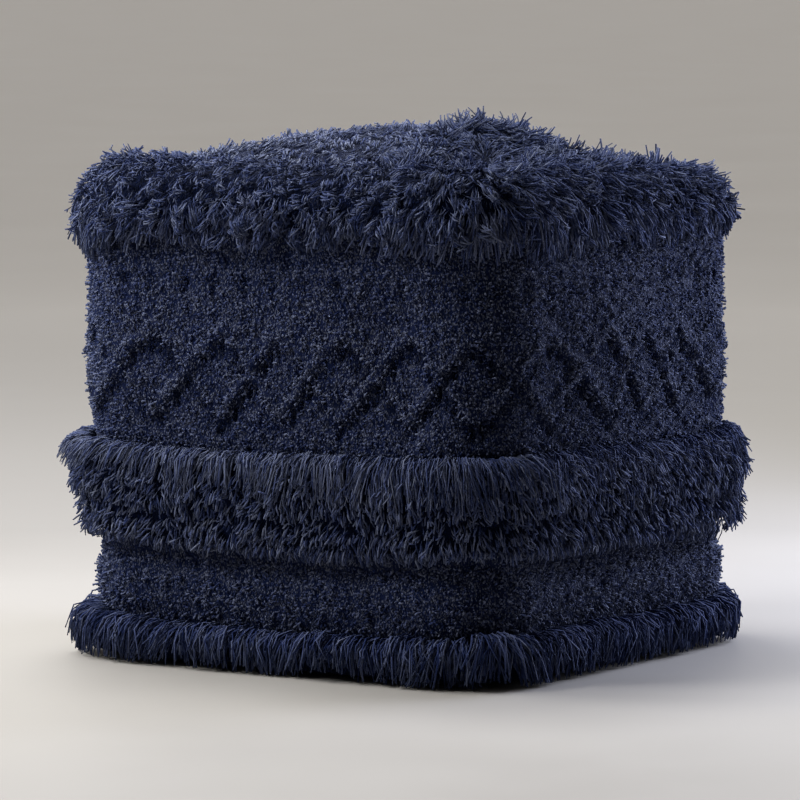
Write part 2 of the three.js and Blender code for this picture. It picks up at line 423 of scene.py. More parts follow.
# How much each thing counts in the shade of a yarn, and the shades that its colours are blended over
LOT_WEIGHT = 0.6
FIBRE_WEIGHT = 1.1
STREAK_WEIGHT = 0.4
MOTTLE_WEIGHT = 0.3
MIDDLE_SHADE = 0.91
DEEP_SHADES = (0.0, 0.35)
PALE_SHADES = (0.25, 1.0)
PALE_POWER = 1.3
ROOT_SHADE = 0.9
YARN_ROUGH = (0.78, 0.98)
YARN_BUMP = (0.7, 0.001)
STREAK_HEIGHT = 0.3

# The cut ends of packed yarn: cells stretched upright, from their middle to their edge, darker towards the
# edge as painted shade between the strands, each of its own shade
UPRIGHT = (1.0, 1.0, 0.55)
END_RANGE = (0.05, 0.6)
OWN_RANGE = (0.2, 0.8)
OWN_SHADES = (0.25, 1.3)
END_SHADES = (0.05, 0.95)
END_MOTTLE = 0.1
END_FUZZ = 0.15
END_FIBRE_HEIGHT = 0.35
END_BUMP = 1.1
END_ROUGH = (0.9, 1.0)
# How far the attribute cut darkens the packed pile towards near black, as painted shade
CUT_SHADE = 0.75

# The floor: how far off it grows paler, and how rough it is
FLOOR_FADES = (1.0, 4.0)
FLOOR_ROUGH = (0.5, 0.62)


class Nodes:
    """Short calls that add and link nodes of one material or sky."""

    def __init__(self, owner):
        owner.use_nodes = True
        self.owner = owner
        self.tree = owner.node_tree

    def fill(self, node, inputs):
        for key, value in inputs.items():
            if isinstance(value, bpy.types.NodeSocket):
                self.tree.links.new(value, node.inputs[key])
            else:
                node.inputs[key].default_value = value

    def add(self, kind, inputs=None, **settings):
        node = self.tree.nodes.new(kind)
        for key, value in settings.items():
            setattr(node, key, value)
        self.fill(node, inputs or {})
        return node

    def finish(self, color, roughness, **others):
        shader = self.tree.nodes["Principled BSDF"]
        self.fill(shader, {"Base Color": color, "Roughness": roughness, **others})
        return self.owner

    def attribute(self, name):
        return self.add("ShaderNodeAttribute", attribute_name=name).outputs["Fac"]

    def place(self):
        return self.add("ShaderNodeTexCoord").outputs["Object"]

    def vector(self, operation, a, b=(0.0, 0.0, 0.0)):
        return self.add("ShaderNodeVectorMath", {0: a, 1: b}, operation=operation).outputs

    def noise(self, scale, detail=2.0, rough=0.5, spot=None):
        inputs = {"Vector": spot or self.place(), "Scale": scale, "Detail": detail, "Roughness": rough}
        return self.add("ShaderNodeTexNoise", inputs).outputs["Fac"]

    def streaks(self):
        """Fine lines along each strand, different on every one."""
        across = self.math("MULTIPLY", self.attribute("around"), STREAKS_ACROSS)
        strand = self.math("MULTIPLY", self.attribute("lot_and_painted_shade"), STREAK_LOTS)
        spot = self.add("ShaderNodeCombineXYZ", {"X": across, "Y": self.attribute("along"), "Z": strand})
        return self.stretch(self.noise(1.0, 1.0, spot=spot.outputs["Vector"]), STREAK_RANGE)

    def math(self, operation, a, b):
        return self.add("ShaderNodeMath", {0: a, 1: b}, operation=operation).outputs[0]

    def total(self, *terms):
        """The sum of values, each times its weight."""
        total = 0.0
        for value, weight in terms:
            inputs = {0: value, 1: weight, 2: total}
            total = self.add("ShaderNodeMath", inputs, operation="MULTIPLY_ADD").outputs[0]
        return total

    def stretch(self, value, old, new=(0.0, 1.0)):
        """A value moved from an old range to a new one, and held inside it."""
        inputs = {"Value": value, "From Min": old[0], "From Max": old[1], "To Min": new[0], "To Max": new[1]}
        return self.add("ShaderNodeMapRange", inputs).outputs["Result"]

    def blend(self, factor, a, b):
        return self.add("ShaderNodeMix", {0: factor, 6: a, 7: b}, data_type="RGBA").outputs[2]

    def bump(self, height, strength, distance):
        inputs = {"Height": height, "Strength": strength, "Distance": distance}
        return self.add("ShaderNodeBump", inputs).outputs["Normal"]

    def cotton(self, color, roughness, normal, sheen):
        return self.finish(color, roughness, **{"Normal": normal, "Sheen Weight": sheen, **COTTON})


def yarn_material(name, shaded, sheen, paler):
    """Spun cotton: darker along a shaded share of it from the root as painted shade, each strand of its own
    shade, with painted light and shade added.
    """
    n = Nodes(bpy.data.materials.new(name))
    fibre = n.noise(**FIBRES)
    streaks = n.streaks()
    shade = n.total(
        (n.attribute("lot_and_painted_shade"), LOT_WEIGHT),
        (fibre, FIBRE_WEIGHT),
        (streaks, STREAK_WEIGHT),
        (n.noise(**BROAD_MOTTLE), MOTTLE_WEIGHT),
        (n.noise(**FINE_MOTTLE), MOTTLE_WEIGHT),
        (1.0, paler - MIDDLE_SHADE),
    )
    body = n.blend(n.stretch(shade, DEEP_SHADES), NAVY_DEEP, NAVY)
    body = n.blend(n.math("POWER", n.stretch(shade, PALE_SHADES), PALE_POWER), body, NAVY_LIGHT)
    # Painted shade towards the root of each strand, where the strands shade each other
    rooted = n.stretch(n.attribute("along"), (0.0, shaded), (ROOT_SHADE, 0.0))
    color = n.blend(rooted, body, NAVY_DEEP)
    height = n.total((fibre, 1.0), (streaks, STREAK_HEIGHT))
    return n.cotton(color, n.stretch(fibre, NOISE_RANGE, YARN_ROUGH), n.bump(height, *YARN_BUMP), sheen)


def cut_ends(name, dark, light, scale, strength):
    """Packed yarn seen end on: upright cells of one strand each, paler in the middle, with painted shade at
    the edge.
    """
    n = Nodes(bpy.data.materials.new(name))
    spot = n.vector("MULTIPLY", n.place(), UPRIGHT)["Vector"]
    cells = n.add("ShaderNodeTexVoronoi", {"Vector": spot, "Scale": scale, "Randomness": 1.0})
    ends = n.stretch(cells.outputs["Distance"], END_RANGE, (1.0, 0.0))
    own = n.stretch(cells.outputs["Color"], OWN_RANGE, OWN_SHADES)
    fibre = n.noise(**END_FIBRES)
    mottle = n.stretch(n.noise(**FINE_MOTTLE), NOISE_RANGE, (-END_MOTTLE, END_MOTTLE))
    fuzz = n.stretch(fibre, NOISE_RANGE, (-END_FUZZ, END_FUZZ))
    # Darker towards each cell's edge: painted shade between the strands
    shade = n.total((ends, own), (mottle, 1.0), (fuzz, 1.0))
    color = n.blend(n.stretch(shade, END_SHADES), dark, light)
    # Painted shade, near black, in the cut pits of the walls and between the crown's tufts
    color = n.blend(n.math("MULTIPLY", n.attribute("cut"), CUT_SHADE), color, PAINTED_SHADE_NAVY)
    height = n.total((ends, 1.0), (fibre, END_FIBRE_HEIGHT))
    normal = n.bump(height, strength, END_BUMP / scale)
    return n.cotton(color, n.stretch(fibre, NOISE_RANGE, END_ROUGH), normal, 0.0)


def core_material():
    """The yarn deep inside a fringe, near black as painted shade, one material for all of them."""
    made = bpy.data.materials.get("fringe_core")
    return made or cut_ends("fringe_core", PAINTED_SHADE_NAVY, NAVY_DEEP, scale=480.0, strength=0.8)


def backing_material():
    """The cut ends of the pile that is packed between the taller tufts."""
    return cut_ends("packed_pile", PACKED_DARK, PACKED_LIGHT, scale=640.0, strength=1.0)


def floor_material():
    """A pale floor that grows paler far behind the pouf."""
    n = Nodes(bpy.data.materials.new("pale_floor"))
    grain = n.noise(**FLOOR_GRAIN)
    near = n.blend(grain, FLOOR_DARK, FLOOR_PALE)
    distance = n.vector("LENGTH", n.place())["Value"]
    color = n.blend(n.stretch(distance, FLOOR_FADES), near, FLOOR_FAR)
    return n.finish(color, n.stretch(grain, NOISE_RANGE, FLOOR_ROUGH))


# The stuffed body

RINGS_ROUND = 2 * STEPS * ZIGZAGS
CROWN_RINGS = 10

# The rows of vertices up the wall, closest where the zigzags are cut into it
LOW_WALL_TOP = 0.11
CARVED_FROM = 0.2
CARVED_TO = 0.386
BODY_TOP = SHOULDER_Z - 0.0015
BODY_HEIGHTS = np.concatenate([
    np.linspace(0, LOW_WALL_TOP, 10, endpoint=False),
    np.linspace(LOW_WALL_TOP, CARVED_FROM, 3, endpoint=False),
    np.linspace(CARVED_FROM, CARVED_TO, 60, endpoint=False),
    np.linspace(CARVED_TO, BODY_TOP, 6),
])

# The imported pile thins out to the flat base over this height
BASE_ZONE = 0.02

# How far past a whole turn, and how finely, the zigzags are measured to find the columns
COLUMN_MARGIN = 0.1
FINE_COLUMNS = 4801


def body_columns():
    """The shares of a turn of the columns of vertices: two for each step of the zigzags."""
    fine = np.linspace(-COLUMN_MARGIN, 1 + COLUMN_MARGIN, FINE_COLUMNS)
    first = math.ceil(zigzag_count(np.zeros(1))[0] * 2 * STEPS)
    return np.interp((first + np.arange(RINGS_ROUND)) / (2 * STEPS), zigzag_count(fine), fine)


def body_ring(turn, z):
    """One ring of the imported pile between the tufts. It lies inside their ends, except at the flat base."""
    z = np.full_like(turn, z)
    out = wall_out(z) + (pile_rise(turn, z) - GROUND_DEPTH) * np.clip(z / BASE_ZONE, 0, 1)
    return place(turn, out, z)


def stuffed_body():
    """Rings up the wall and over the crown, closed by a point in the middle of the base and of the crown.

    Its attribute "cut" says how deep the relief is cut at each place, as a share of a full cut, and the
    packed pile is painted darker there as shade in the pits. Over the crown it holds the painted shade
    between the tufts.
    """
    turn = body_columns()
    rings = [body_ring(turn, z) for z in BODY_HEIGHTS]
    rim = rings[-1]
    for share in np.linspace(1, 0, CROWN_RINGS, endpoint=False)[1:]:
        rounder = (1 - share) * RIM_REACH / np.hypot(rim[:, 0], rim[:, 1]) + share
        flat = rim[:, :2] * (share * rounder)[:, None]
        z = top_height(flat[:, 0], flat[:, 1]) - GROUND_DEPTH
        rings.append(np.column_stack([flat, z]))
    middle_top = [[0, 0, top_height(0.0, 0.0) - GROUND_DEPTH]]
    vertices = np.concatenate(rings + [middle_top, [[0, 0, 0]]])
    step = np.arange(RINGS_ROUND)
    after = (step + 1) % RINGS_ROUND
    low = (np.arange(len(rings) - 1) * RINGS_ROUND)[:, None]
    quads = np.stack([low + step, low + after, low + RINGS_ROUND + after, low + RINGS_ROUND + step], -1)
    last = (len(rings) - 1) * RINGS_ROUND
    top = np.stack([last + step, last + after, np.full_like(step, len(vertices) - 2)], -1)
    base = np.stack([after, step, np.full_like(step, len(vertices) - 1)], -1)
    body = mesh_object("stuffed_body", vertices, [quads.reshape(-1, 4), np.concatenate([top, base])])
    painted_shades = np.zeros(len(vertices))
    heights = np.repeat(BODY_HEIGHTS, RINGS_ROUND)
    painted_shades[:len(heights)] = np.clip(-relief(np.tile(turn, len(BODY_HEIGHTS)), heights) / FULL_CUT, 0, 1)
    # Over the crown, painted shade between the tufts, less of it towards the left-hand end where light is
    # painted
    across = crown_across(vertices[len(heights):, 0], vertices[len(heights):, 1])
    painted_shades[len(heights):] = np.interp(across, (-CROWN_PAINTED_LIGHT_EDGE, 0.0), (CROWN_LEFT_GAP_SHADE, CROWN_SHADED))
    write_attribute(body, "cut", painted_shades * (vertices[:, 2] > BAND_PILE_HIGH))
    body.data.materials.append(backing_material())
    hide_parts("filled_body")
    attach(body, "root")


# The short pile and the zigzags cut into it, charted. In each style of short strands, stand and lift
# are how upright they start and end, whim and own how far bunches and single strands turn aside, curl how
# much more they do so at the end, and gather how far a bunch draws together.

PILE = {
    "length": 0.0078, "shortest": 0.82, "stand": 0.85, "lift": 0.7, "whim": 0.22, "own": 0.34, "curl": 1.6,
    "bunch": 5, "gather": 0.34, "shares": (0.0, 1.0), "radius": 0.00104, "girth": (1.0,),
}
PILE_SPACING = 0.00254
PILE_LOW = 0.199
PILE_HIGH = 0.38
BAND_PILE_LOW = 0.047
BAND_PILE_HIGH = 0.107
BARE_LENGTH = 0.002
FULL_CUT = 0.006
WALL_SINK = 0.0004
TUFT_GIRTHS = (0.75, 1.1)
# Painted light and shade on the walls: the pile is made paler where it is longer and darker in the pits, by
# this much for each metre
RELIEF_PAINTED_SHADE = 120
SLOPE_STEP = 0.002

# Lumps of the surface, and of its single tufts: height and size
LUMPS = 0.0007
LUMP_SIZE = 0.016
TUFT_LUMPS = 0.0008
TUFT_LUMP_SIZE = 0.007
LUMP_SEED = 6

# The share of tufts kept round the body: the two faces turned away from the view are a little coarser
THINNED = [(0.22, 1.0), (0.27, 0.72), (0.63, 0.72), (0.68, 1.0)]
TIPS_THINNED = [(0.22, 1.0), (0.27, 0.86), (0.63, 0.86), (0.68, 1.0)]

# The low band of pile: its painted light and shade round the body, paler on the right-hand face of the view
# and darker on the left-hand face and at the near corner, and its faint rows
BAND_PAINTED_LIGHT = [
    (0.0, 0.2), (0.1, 0.26), (0.2125, 0.3), (0.3, 0.0), (0.68, 0.0), (0.73, -0.08), (0.9, -0.08),
    (0.95, -0.1),
]
BAND_ROW = 0.0085
BAND_ROW_RISE = 0.0006

# The crown: how its pile lies, its faint rows and lumps with painted shade in their hollows, the painted
# shade between its tufts, and its painted light towards its left-hand end
CROWN_LIE = {"stand": 0.2, "lift": 0.06, "own": 0.12, "whim": 0.16, "bunch": 12, "gather": 0.6}
CROWN_LENGTH = 0.012
CROWN_SPACING = 0.0029
CROWN_GIRTH = 0.88
CROWN_SINK = 0.0008
CROWN_EDGE = 0.92
UNDER_BAND = 0.02
CROWN_UNEVEN = 0.0008
CROWN_UNEVEN_SIZE = 0.022
CROWN_HEADING = 1.7
CROWN_SWIRL = 0.3
SWIRL_SIZE = 0.1
ROW_RISE = 0.0026
ROW_WIDTH = 0.017
ROW_SWAY = 1.1
ROW_SWAY_SIZE = 0.09
CROWN_LUMPS = 0.0023
CROWN_LUMP_SIZE = 0.014
CROWN_LUMP_PAINTED_SHADE = 0.24
CROWN_PAINTED_LIGHT_EDGE = 0.14
CROWN_PAINTED_LIGHT_SLOPE = 1.8
CROWN_PAINTED_LIGHT_LIMIT = 0.22
CROWN_SHADED = 0.8
CROWN_LEFT_GAP_SHADE = 0.3

# The two zigzag lines: height, swing, half height and depth of their pits, and height of the welt over them
UPPER_LINE = {"z": 0.277, "swing": 0.017, "half": 0.0088, "depth": 0.0078, "ridge": 0.003}
LOWER_LINE = {"z": 0.237, "swing": -0.02, "half": 0.0086, "depth": 0.0078, "ridge": 0.0046}
ZIGZAG_START = 0.625
STEP_WIDTH = 0.46
STEP_SHIFT = 0.0016
STEP_STRENGTH = (0.35, 1.2)
RIDGE_OFFSET = 0.015
RIDGE_HALF = 0.006
RELIEF_SEED = 5

# How far the zigzags run ahead of even spacing, as a share of one of them
ZIGZAG_SHIFT = [
    (0.007, 0.2), (0.061, -0.09), (0.099, 0.0), (0.136, 0.1), (0.2, 0.0), (0.74, 0.06), (0.807, -0.03),
    (0.844, 0.12), (0.881, 0.22), (0.92, 0.3), (0.96, 0.33),
]

# The row of single pits above them
PITS = 53
PIT_Z = 0.345
PIT_DEPTH = 0.005
PIT_HALF_WIDTH = 0.0048
PIT_HALF_HEIGHT = 0.0075
PIT_STRENGTH = (0.3, 1.1)


def zigzag_count(turn):
    """How many zigzags lie before each place of a turn. They are a little uneven in width."""
    return turn * ZIGZAGS + ZIGZAG_START + by_turn(turn, ZIGZAG_SHIFT)


def triangle_wave(u):
    """From 1 to -1 and back over each whole step of u."""
    return 4 * np.abs(np.mod(u, 1.0) - 0.5) - 1


def stepped_line(turn, z, line, rng):
    """A zigzag as a weaver makes it: short upright pits cut into the pile, under a smooth raised welt."""
    u = zigzag_count(turn)
    column = np.floor(u * STEPS).astype(int)
    beside = (u * STEPS - column - 0.5) / STEP_WIDTH
    number = ZIGZAGS * STEPS
    shift = rng.normal(0, STEP_SHIFT, number)[column % number]
    strength = rng.uniform(*STEP_STRENGTH, number)[column % number]
    over = z - line["z"] - line["swing"] * triangle_wave((column + 0.5) / STEPS) - shift
    pit = strength * np.exp(-np.abs(over / line["half"]) ** 4 - np.abs(beside) ** 6)
    above = z - line["z"] - line["swing"] * triangle_wave(u) - RIDGE_OFFSET
    welt = np.exp(-((above / RIDGE_HALF) ** 2))
    return line["ridge"] * welt - line["depth"] * pit


def relief(turn, z):
    """How much longer or shorter the pile is cut at each place of the wall."""
    rng = np.random.default_rng(RELIEF_SEED)
    rise = stepped_line(turn, z, UPPER_LINE, rng) + stepped_line(turn, z, LOWER_LINE, rng)
    beside = (np.mod(turn * PITS, 1.0) - 0.5) * AROUND / PITS
    strength = rng.uniform(*PIT_STRENGTH, PITS)[np.floor(turn * PITS).astype(int) % PITS]
    away = (beside / PIT_HALF_WIDTH) ** 2 + ((z - PIT_Z) / PIT_HALF_HEIGHT) ** 2
    return rise - PIT_DEPTH * strength * np.exp(-away)


def pile_rise(turn, z):
    """How far the ends of the pile stand out at each place of the wall."""
    spot = np.stack([turn * AROUND, z], -1)
    low = z < BAND_PILE_HIGH
    lumps = LUMPS * (1 + low) * field(spot, LUMP_SIZE, np.random.default_rng(LUMP_SEED))
    return lumps + np.where(low, BAND_ROW_RISE * np.sin(2 * math.pi * z / BAND_ROW), relief(turn, z))


def wall_pile(name, first_turn, last_turn, low, high, material, seed):
    """The pile of one stretch of wall between two heights."""
    rng = np.random.default_rng(seed)
    u, v = scatter((last_turn - first_turn) * AROUND, high - low, PILE_SPACING, rng)
    turn = first_turn + u / AROUND
    kept = rng.random(len(turn)) < by_turn(turn, THINNED)
    turn = turn[kept]
    z = (low + v)[kept]
    slope = (wall_out(z + SLOPE_STEP) - wall_out(z - SLOPE_STEP)) / (2 * SLOPE_STEP)
    outs, downs = facing(turn, unit(np.column_stack([-slope, -np.ones_like(slope)])))
    roots = place(turn, wall_out(z) - PILE_DEPTH - WALL_SINK, z)
    spot = np.stack([turn * AROUND, z], -1)
    lengths = PILE["length"] + pile_rise(turn, z) + TUFT_LUMPS * field(spot, TUFT_LUMP_SIZE, rng)
    girth = np.clip(lengths / PILE["length"], *TUFT_GIRTHS)
    # Painted light on the raised pile and painted shade in the pits and hollows, and the low band's painted
    # light and shade round the body
    tone = RELIEF_PAINTED_SHADE * (lengths - PILE["length"]) + by_turn(turn, BAND_PAINTED_LIGHT) * (z < BAND_PILE_HIGH)
    paths = shag(roots, outs, downs, PILE, rng, np.maximum(lengths, BARE_LENGTH))
    yarn_piece(name, paths, PILE, rng, material, girth=girth, tone=tone)


def crown_pile(material, seed):
    """The low pile of the top panel, brushed towards the back and lying in faint rows along Y."""
    rng = np.random.default_rng(seed)
    u, v = scatter(2 * RIM_REACH, 2 * RIM_REACH, CROWN_SPACING, rng)
    x = u - RIM_REACH
    y = v - RIM_REACH
    inside = (squared(x, y, RIM_REACH) < CROWN_EDGE) & (x < BAND_LEFT + UNDER_BAND)
    x, y = x[inside], y[inside]
    slope = 2 * CROWN_RISE / RIM_REACH ** 2
    outs = unit(np.column_stack([x * slope, y * slope, np.ones_like(x)]))
    roots = np.column_stack([x, y, top_height(x, y) - GROUND_DEPTH - CROWN_SINK])
    heading = CROWN_HEADING + CROWN_SWIRL * field(roots[:, :2], SWIRL_SIZE, rng)
    downs = np.column_stack([np.cos(heading), np.sin(heading), np.zeros_like(x)])
    rows = np.sin(2 * math.pi * x / ROW_WIDTH + ROW_SWAY * field(roots[:, :2], ROW_SWAY_SIZE, rng))
    lumps = field(roots[:, :2], CROWN_LUMP_SIZE, rng)
    painted_light = CROWN_PAINTED_LIGHT_SLOPE * (crown_across(x, y) + CROWN_PAINTED_LIGHT_EDGE)
    # Painted shade in the hollows of the lumps, and painted light at the left-hand end with the rest of the
    # crown darker
    tone = CROWN_LUMP_PAINTED_SHADE * lumps - np.clip(painted_light, -CROWN_PAINTED_LIGHT_LIMIT, CROWN_PAINTED_LIGHT_LIMIT)
    roots[:, 2] += ROW_RISE * rows + CROWN_LUMPS * lumps
    lengths = CROWN_LENGTH + CROWN_UNEVEN * field(roots[:, :2], CROWN_UNEVEN_SIZE, rng)
    paths = shag(roots, outs, downs, {**PILE, **CROWN_LIE}, rng, lengths)
    yarn_piece("pile_crown", paths, PILE, rng, material, girth=CROWN_GIRTH, tone=tone)


def short_pile():
    """The pile of each wall above the middle seam, of the band below it, and of the crown."""
    material = yarn_material("cut_pile", shaded=0.6, sheen=0.03, paler=0.04)
    for i, side in enumerate(["right", "back", "left", "front"]):
        start = i / 4 - (1 - SIDE_SHARE) / 8
        wall_pile(f"pile_{side}", start, start + 0.25, PILE_LOW, PILE_HIGH, material, seed=11 + i)
    wall_pile("pile_low_band", 0, 1, BAND_PILE_LOW, BAND_PILE_HIGH, material, seed=15)
    crown_pile(yarn_material("crown_yarn", shaded=0.4, sheen=0.03, paler=0.21), seed=16)


# The fringes

CORE_TURNS = 160
RIGHT_CORNER = 0.2125
THREE_STEPS = {"shares": (0.0, 0.28, 0.62, 1.0), "girth": (1.0, 1.0, 0.8)}
ROUND_STEPS = {"shares": (0.0, 0.16, 0.34, 0.6, 1.0), "girth": (1.0, 1.0, 1.0, 0.8)}
UNEVEN_STEPS = 0.06

# The width of clumps against their mean, and the shortest of them against the longest
CLUMP_WIDTHS = (0.4, 1.6)
CLUMP_SHORTEST = 0.82

# The share of loose strands and of wisps, how much further they stray or stand off, and the limit of straying
LOOSE_SHARE = 0.09
LOOSE_TIMES = 2.0
LOOSEST = 2.2
STRAY_LIMIT = 1.6
WISP_SHARE = 0.02
WISP_LIFT = 0.006

# How late along a strand it is pulled to its clump, sways and hooks, and how much a strand does so on its own
PULL_POWER = 1.5
SWAY_POWER = 1.2
HOOK_POWER = 2.5
HOOK_OWN = 0.7
LIFT_OWN = 0.5

# Kinks grow in over the first third of a strand, and are smaller up and down than sideways
KINK_GROWS = 3
KINK_UPRIGHT = 0.7


def smooth_line(points, t):
    """Points at shares t (strand, ring) of polylines (strand, point, 2), rounded at their corners."""
    count = points.shape[1] - 1
    s = np.clip(t, 0, 1) * count
    i = np.minimum(s.astype(int), count - 1)
    f = (s - i)[..., None]
    rows = np.arange(len(points))[:, None]
    a = points[rows, np.maximum(i - 1, 0)]
    b = points[rows, i]
    c = points[rows, i + 1]
    d = points[rows, np.minimum(i + 2, count)]
    bend = (2 * a - 5 * b + 4 * c - d) * f ** 2 + (3 * b - a - 3 * c + d) * f ** 3
    return 0.5 * (2 * b + (c - a) * f + bend)


def clumps(turn, width, rng):
    """Which clump each strand hangs in, and the middle of each clump."""
    edges = np.cumsum(rng.uniform(*CLUMP_WIDTHS, int(AROUND / width)))
    edges = edges / edges[-1]
    index = np.minimum(np.searchsorted(edges, np.mod(turn, 1.0)), len(edges) - 1)
    starts = np.concatenate([[0], edges[:-1]])
    return index, (starts + edges) / 2


def round_field(turn, crests, rng, waves=8):
    """A smooth random number round the body, with a spread of 1, of about that many crests in a turn."""
    pace = rng.integers(max(1, crests // 2), crests * 3 // 2 + 1, waves)
    phase = rng.uniform(0, 2 * math.pi, waves)
    return np.cos(2 * math.pi * turn[:, None] * pace + phase).sum(-1) / math.sqrt(waves / 2)


def drawn_in(turn, amounts):
    """How far a fringe is drawn in, between its amounts at the left and at the right corner of the view."""
    right = 0.5 + 0.5 * np.cos(2 * math.pi * (turn - RIGHT_CORNER))
    return amounts[0] * (1 - right) + amounts[1] * right


def strand_steps(turn, index, number, lay, rng):
    """The shares of each strand at which its points lie, and how far along its line each of them comes."""
    count = len(turn)
    length = rng.uniform(lay["shortest"], 1.0, count) * rng.uniform(CLUMP_SHORTEST, 1.0, number)[index]
    length = length * by_turn(turn, lay["reach"])
    shares = np.array(lay["shares"])
    shares = shares + UNEVEN_STEPS * rng.uniform(-1, 1, (count, 1)) * (shares * (1 - shares) > 0)
    return shares, np.minimum(shares * length[:, None], 1)


def strand_drift(turn, index, middles, t, lay, rng):
    """How far round the body each point of each strand has drifted, as a share of a turn."""
    count, number = len(turn), len(middles)
    pull = (middles[index] - np.mod(turn, 1.0)) * lay["pull"]
    sway = lay["sway"] * round_field(turn, lay["waves"], rng) + lay["lean"] * rng.normal(size=number)[index]
    unruly = by_turn(turn, lay["unruly"])
    loose = np.minimum(np.where(rng.random(count) < LOOSE_SHARE, LOOSE_TIMES, 1.0) * unruly, LOOSEST)
    stray = lay["stray"] * loose * np.clip(rng.normal(size=count), -STRAY_LIMIT, STRAY_LIMIT)
    sway = (sway + by_turn(turn, lay["slant"]) * SLANT_REACH + stray) / AROUND
    hook = rng.normal(size=number)[index] + HOOK_OWN * rng.normal(size=count)
    hook = lay["hook"] * unruly * hook / AROUND
    ways = ((pull, PULL_POWER), (sway, SWAY_POWER), (hook, HOOK_POWER))
    return sum(way[:, None] * t ** power for way, power in ways)


def long_strands(lay, rng):
    """Paths of one lay of strands: each follows a line between the inner and outer one, with its clump."""
    count = lay["strands"]
    turn = (np.arange(count) + rng.random(count)) / count
    depth = (rng.random(count) ** lay["bias"])[:, None, None]
    lines = np.array(lay["inner"]) * (1 - depth) + np.array(lay["outer"]) * depth
    index, middles = clumps(turn, lay["clump"], rng)
    shares, t = strand_steps(turn, index, len(middles), lay, rng)
    line = smooth_line(lines, t)
    drift = strand_drift(turn, index, middles, t, lay, rng)
    unruly = np.sqrt(by_turn(turn, lay["unruly"]))[:, None]
    kink = rng.normal(size=(3,) + shares.shape) * lay["kink"] * unruly * np.clip(shares * KINK_GROWS, 0, 1)
    astray = WISP_LIFT * rng.random(count) * (rng.random(count) < WISP_SHARE)
    lift = rng.normal(size=len(middles))[index] + LIFT_OWN * rng.normal(size=count)
    lift = (lay["lift"] * lift + astray)[:, None]
    pushed = (by_turn(turn, lay["raised"]) - drawn_in(turn, lay["drawn"]))[:, None]
    out = line[..., 0] + kink[1] + lift * t + pushed * np.sqrt(t)
    z = line[..., 1] + KINK_UPRIGHT * kink[2] + lift * np.sqrt(t)
    out = np.maximum(out, wall_out(z) - PILE_DEPTH)
    return place(turn[:, None] + drift + kink[0] / AROUND, out, np.maximum(z, FLOOR_GAP))


def tip_places(line, run, spacing, style, rng):
    """Where the curly ends of a fringe stand: share of a turn, distance along its line, and lumps."""
    u, v = scatter(AROUND, run[-1], spacing, rng)
    turn = u / AROUND
    lumps = field(np.stack([u, v], -1), style["lump_size"], rng)
    height = np.interp(v, run, line[:, 1])
    for middle, level, reach in style["hollows"]:
        away = ((turn - middle) * AROUND) ** 2 + (height - level) ** 2
        lumps = lumps - HOLLOW_DEPTH * np.exp(-away / reach ** 2)
    kept = (rng.random(len(turn)) < by_turn(turn, TIPS_THINNED)) & (lumps > style["hollow"])
    kept = kept & (height < by_turn(turn, style["up_to"]))
    return turn[kept], v[kept], lumps[kept]


def laid_style(style, level, combed):
    """The style of curly ends, flatter where their line is level and calmer where they are combed."""
    calm = 1 - COMB_CALMS * combed
    stand = style["stand"] * (1 - style["laid"] * level) * (1 - COMB_LAYS * combed)
    return {**style, "stand": stand, "whim": style["whim"] * calm, "own": style["own"] * calm}


def roll_shag(line, spacing, style, rng):
    """Short strands all over a fringe's outer line, rooted inside it."""
    line = np.array(line)
    run = np.concatenate([[0], np.cumsum(np.linalg.norm(np.diff(line, axis=0), axis=1))])
    turn, along, lumps = tip_places(line, run, spacing, style, rng)
    spot, before, after = (
        np.column_stack([np.interp(along + d, run, line[:, 0]), np.interp(along + d, run, line[:, 1])])
        for d in (0, -LINE_STEP, LINE_STEP)
    )
    ahead = unit(after - before)
    inward = np.column_stack([ahead[:, 1], -ahead[:, 0]])
    sink = style["sink"] - style["lump"] * lumps
    root = spot + inward * sink[:, None] - ahead * style["back"]
    lowered = np.clip((style["drawn_from"] - root[:, 1]) / style["drawn_over"], 0, 1)
    out = root[:, 0] - drawn_in(turn, style["drawn"]) * lowered
    fallen = np.clip((style["falls_from"] - root[:, 1]) / style["falls_over"], 0, 1)
    combed = np.maximum(by_turn(turn, style["combed"]), style["falls"] * fallen)
    outs, downs = facing(turn, ahead)
    way = outline(turn)[1]
    sideways = np.column_stack([-way[:, 1], way[:, 0], np.zeros_like(turn)])
    slant = by_turn(turn, style["slant"]) * (LOOSE_SLANT + (1 - LOOSE_SLANT) * combed)
    downs = unit(downs + sideways * slant[:, None])
    lengths = style["length"] * (1 + style["longer"] * combed)
    laid = laid_style(style, np.clip(ahead[:, 0], 0, 1), combed)
    return shag(place(turn, out, root[:, 1]), outs, downs, laid, rng, lengths)


def ring_core(section):
    """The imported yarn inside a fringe: a closed tube round the body with that section (out, z)."""
    turn = np.arange(CORE_TURNS) / CORE_TURNS
    corners = [place(turn, np.full(CORE_TURNS, out), np.full(CORE_TURNS, z)) for out, z in section]
    count = len(section)
    i = np.arange(CORE_TURNS)[:, None] * count
    after = np.roll(i, -1, axis=0)
    j = np.arange(count)[None]
    k = (j + 1) % count
    quads = np.stack([i + j, i + k, after + k, after + j], -1).reshape(-1, 4)
    return np.stack(corners, 1).reshape(-1, 3), quads


